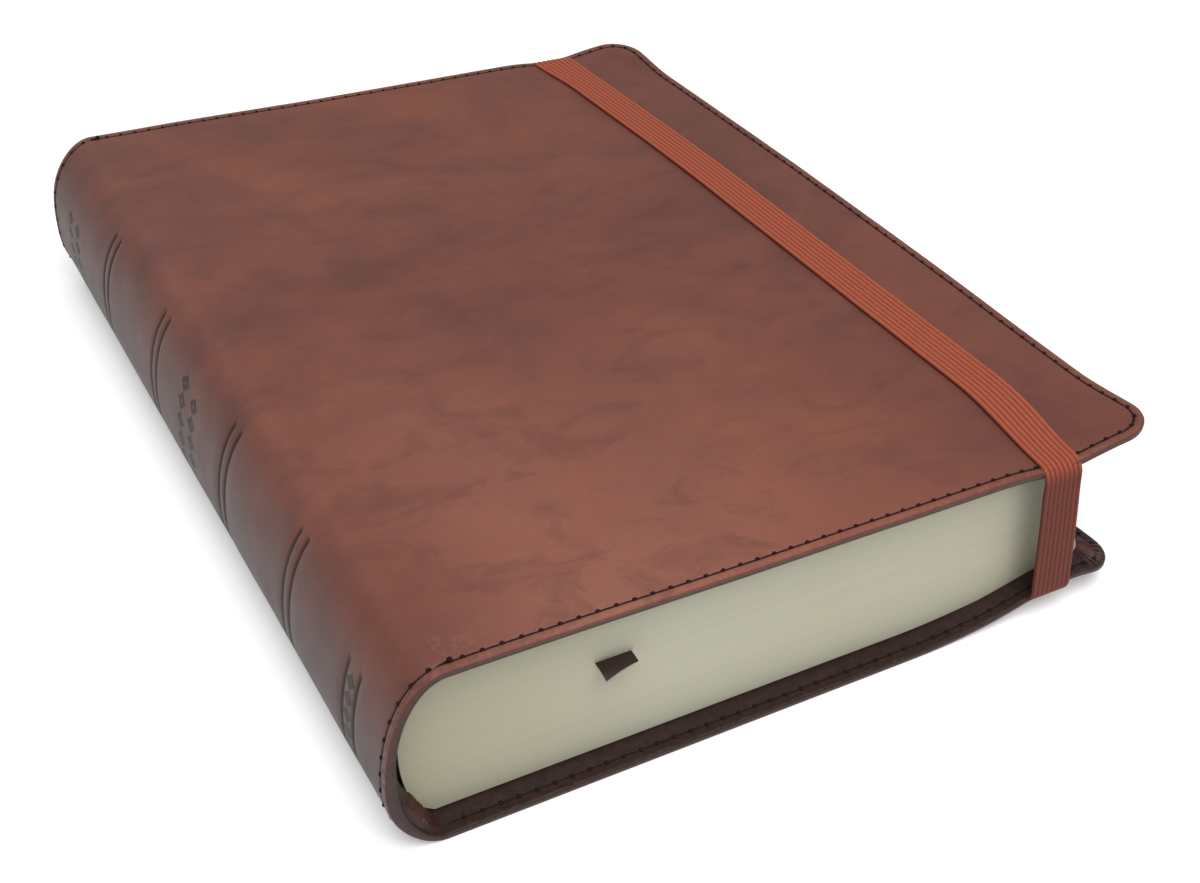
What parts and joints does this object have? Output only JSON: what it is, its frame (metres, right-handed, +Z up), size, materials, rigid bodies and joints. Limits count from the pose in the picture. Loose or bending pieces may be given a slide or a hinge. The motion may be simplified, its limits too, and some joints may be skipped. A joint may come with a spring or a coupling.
{
  "type": "bible",
  "caption": "Thick limp-bound bible in mottled brown imitation leather, with stitched cover edges, a rounded tooled spine, cream pages, a ribbon marker and an elastic closing band.",
  "frame": {"origin": "middle of the closed book's box, on the surface that the back cover lies on", "axes": "+X from the spine to the fore-edge, +Y from the tail to the head of the pages, +Z up from the back cover to the front cover"},
  "size_m": [0.186, 0.2424, 0.0452],
  "materials": {
    "cover_leather": "soft imitation leather, mottled red-brown, semi-matt with a low grain",
    "lining_leather": "dark brown smooth lining, matt",
    "cover_card": "flexible pressed card",
    "page_paper": "thin uncoated cream paper with smooth trimmed edges",
    "stitch_thread": "twisted polyester thread",
    "band_elastic": "ribbed woven elastic, rust brown",
    "ribbon_satin": "dark brown woven satin ribbon",
    "white_cloth": "open woven cotton",
    "kraft_paper": "brown backing paper"
  },
  "bodies": {
    "root": {"back_leather": "cover_leather", "back_board": "cover_card", "back_turn_in": "lining_leather", "back_pastedown": "lining_leather", "back_stitching": "stitch_thread", "back_flyleaf": "page_paper", "band_anchor_tail": "band_elastic", "band_anchor_head": "band_elastic", "spine_leather": "cover_leather", "spine_stitching": "stitch_thread", "spine_liner": "cover_card", "spine_turn_ins": "lining_leather", "spine_paper": "kraft_paper", "mull_cloth": "white_cloth", "sewing_thread": "white_cloth", "page_section_1": "page_paper", "page_section_2": "page_paper", "page_section_3": "page_paper", "page_section_4": "page_paper", "page_section_5": "page_paper", "page_section_6": "page_paper", "page_section_7": "page_paper", "page_section_8": "page_paper"},
    "front_pages": {"page_section_9": "page_paper", "page_section_10": "page_paper", "page_section_11": "page_paper", "page_section_12": "page_paper", "page_section_13": "page_paper", "page_section_14": "page_paper", "page_section_15": "page_paper", "page_section_16": "page_paper", "ribbon_marker": "ribbon_satin"},
    "front_cover": {"front_leather": "cover_leather", "front_board": "cover_card", "front_turn_in": "lining_leather", "front_pastedown": "lining_leather", "front_stitching": "stitch_thread"},
    "front_flyleaf": {"front_flyleaf": "page_paper"},
    "ribbon_tail": {"ribbon_tail": "ribbon_satin"},
    "elastic_band": {"elastic_band": "band_elastic"},
    "loose_leaf_1": {"loose_leaf_1": "page_paper"},
    "loose_leaf_2": {"loose_leaf_2": "page_paper"},
    "loose_leaf_3": {"loose_leaf_3": "page_paper"}
  },
  "joints": [
    {"name": "book_opening", "type": "hinge", "parent": "root", "child": "front_pages", "pos_m": [-0.0888, 0, 0.022], "axis": [0, -1, 0], "range_deg": [0, 178], "deforming": ["spine_leather", "spine_stitching", "spine_liner", "spine_turn_ins", "spine_paper", "mull_cloth", "sewing_thread"]},
    {"name": "front_cover_hinge", "type": "hinge", "parent": "front_pages", "child": "front_cover", "pos_m": [-0.078, 0, 0.0442], "axis": [0, -1, 0], "range_deg": [0, 178]},
    {"name": "front_flyleaf_turn", "type": "hinge", "parent": "front_pages", "child": "front_flyleaf", "pos_m": [-0.071, 0, 0.04155], "axis": [0, -1, 0], "range_deg": [0, 89]},
    {"name": "ribbon_tail_lift", "type": "hinge", "parent": "front_pages", "child": "ribbon_tail", "pos_m": [-0.043, -0.1142, 0.02738], "axis": [-1, 0, 0], "range_deg": [0, 60]},
    {"name": "band_swing", "type": "hinge", "parent": "root", "child": "elastic_band", "pos_m": [0.067, 0, 0.007], "axis": [0, 1, 0], "range_deg": [0, 89], "deforming": ["elastic_band"]},
    {"name": "loose_leaf_1_turn", "type": "hinge", "parent": "root", "child": "loose_leaf_1", "pos_m": [-0.0888, 0, 0.022], "axis": [0, -1, 0], "range_deg": [0, 44.5]},
    {"name": "loose_leaf_2_turn", "type": "hinge", "parent": "root", "child": "loose_leaf_2", "pos_m": [-0.0888, 0, 0.022], "axis": [0, -1, 0], "range_deg": [0, 89]},
    {"name": "loose_leaf_3_turn", "type": "hinge", "parent": "root", "child": "loose_leaf_3", "pos_m": [-0.0888, 0, 0.022], "axis": [0, -1, 0], "range_deg": [0, 133.5]}
  ],
  "couplings": [
    {"joint": "front_flyleaf_turn", "follows": "front_cover_hinge", "ratio": 0.5},
    {"joint": "band_swing", "follows": "book_opening", "ratio": 0.5},
    {"joint": "loose_leaf_1_turn", "follows": "book_opening", "ratio": 0.25},
    {"joint": "loose_leaf_2_turn", "follows": "book_opening", "ratio": 0.5},
    {"joint": "loose_leaf_3_turn", "follows": "book_opening", "ratio": 0.75}
  ]
}
